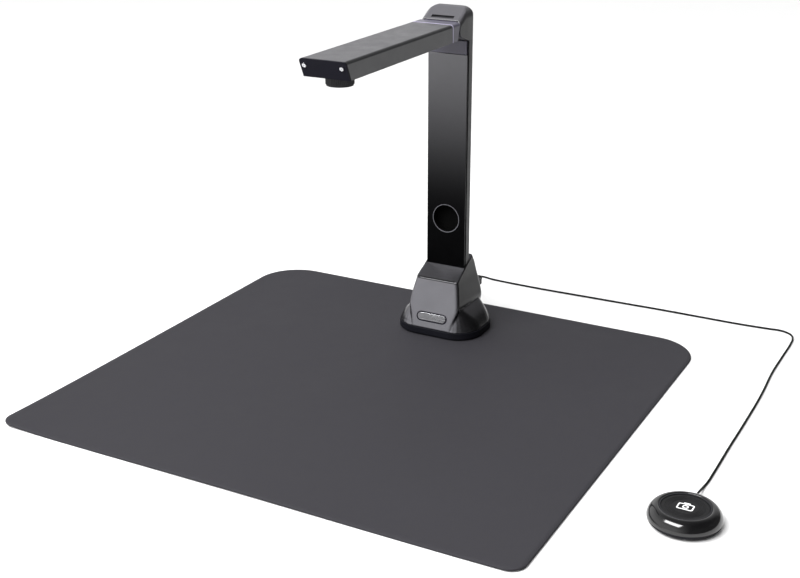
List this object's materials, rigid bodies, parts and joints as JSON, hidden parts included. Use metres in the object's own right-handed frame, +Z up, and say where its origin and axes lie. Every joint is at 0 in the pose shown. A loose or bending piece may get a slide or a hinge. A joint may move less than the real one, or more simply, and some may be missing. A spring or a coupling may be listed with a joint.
{
  "type": "document camera",
  "caption": "Folding overhead document camera on a weighted base, with a soft desk mat and a round corded trigger button.",
  "frame": {"origin": "on the desk, under the column, in the middle of the device from left to right", "axes": "+Z up from the desk, -Y from the column over the mat along the arm, +X to the right seen from the front, towards the trigger button"},
  "size_m": [0.6745, 0.5925, 0.3659],
  "materials": {
    "charcoal_metal": "satin",
    "charcoal_shell": "satin",
    "plum_metal": "satin",
    "panel": "satin, smooth",
    "black_plastic": "matt",
    "black_gloss": "polished",
    "black_rubber": "matt",
    "mat_rubber": "soft, fine grain",
    "bright_steel": "bright",
    "plain_steel": "plain",
    "ballast_iron": "rough",
    "socket_steel": "plated",
    "bronze": "plain",
    "badge_metal": "fine brushed",
    "glass_lens": "coated",
    "board_green": "satin",
    "cable_amber": "smooth",
    "icon_white": "printed"
  },
  "bodies": {
    "base_and_column": {"document_mat": "mat_rubber", "foot_pad": "black_rubber", "base_plate": "black_plastic", "base_shell": "charcoal_shell", "base_screws": "plain_steel", "ballast_blocks": "ballast_iron", "column_socket": "plain_steel", "column_foot_block": "plain_steel", "column_bolts": "plain_steel", "base_board": "board_green", "usb_socket": "socket_steel", "data_inlet": "socket_steel", "badge_bezel": "black_gloss", "front_badge": "badge_metal", "column_shell": "charcoal_metal", "column_frame": "black_plastic", "column_front_panel": "panel", "hinge_seat_plate": "plum_metal", "lens_recess_cup": "black_plastic", "column_cable": "cable_amber", "hinge_pin": "bright_steel", "hinge_bushes": "bronze", "friction_washers": "plain_steel", "puck_pad": "black_rubber", "puck_base": "black_plastic", "puck_case": "black_gloss", "puck_bezel": "black_plastic", "puck_board": "board_green", "puck_switch": "black_plastic", "puck_screws": "plain_steel", "puck_spring": "bright_steel", "puck_gland": "black_rubber", "trigger_cord": "black_rubber", "usb_plug": "black_plastic", "plug_relief": "black_rubber"},
    "arm": {"arm_knuckle": "plum_metal", "arm_shell": "charcoal_metal", "arm_bottom_cover": "black_plastic", "arm_end_cap": "black_plastic", "end_cap_screws": "bright_steel", "cover_screws": "plain_steel", "lens_holder": "black_plastic", "camera_board": "board_green", "image_sensor": "black_gloss", "arm_ribbon": "cable_amber"},
    "focus": {"focus_ring": "black_plastic", "lens_cell": "black_plastic", "front_lens": "glass_lens", "rear_lens": "glass_lens"},
    "button": {"puck_button": "black_plastic", "puck_pictogram": "icon_white"}
  },
  "joints": [
    {"name": "arm_fold", "type": "hinge", "parent": "base_and_column", "child": "arm", "pos_m": [0, -0.0181, 0.3442], "axis": [1, 0, 0], "range_deg": [0, 90]},
    {"name": "focus_turn", "type": "hinge", "parent": "arm", "child": "focus", "pos_m": [0, -0.231, 0.33], "axis": [0, 0, 1], "range_deg": [0, 120]},
    {"name": "button_press", "type": "slide", "parent": "base_and_column", "child": "button", "axis": [0, 0, -1], "range_m": [0, 0.0012], "stiffness_N_per_m": 1500, "springref_m": -0.0005, "deforming": ["puck_spring"]}
  ]
}
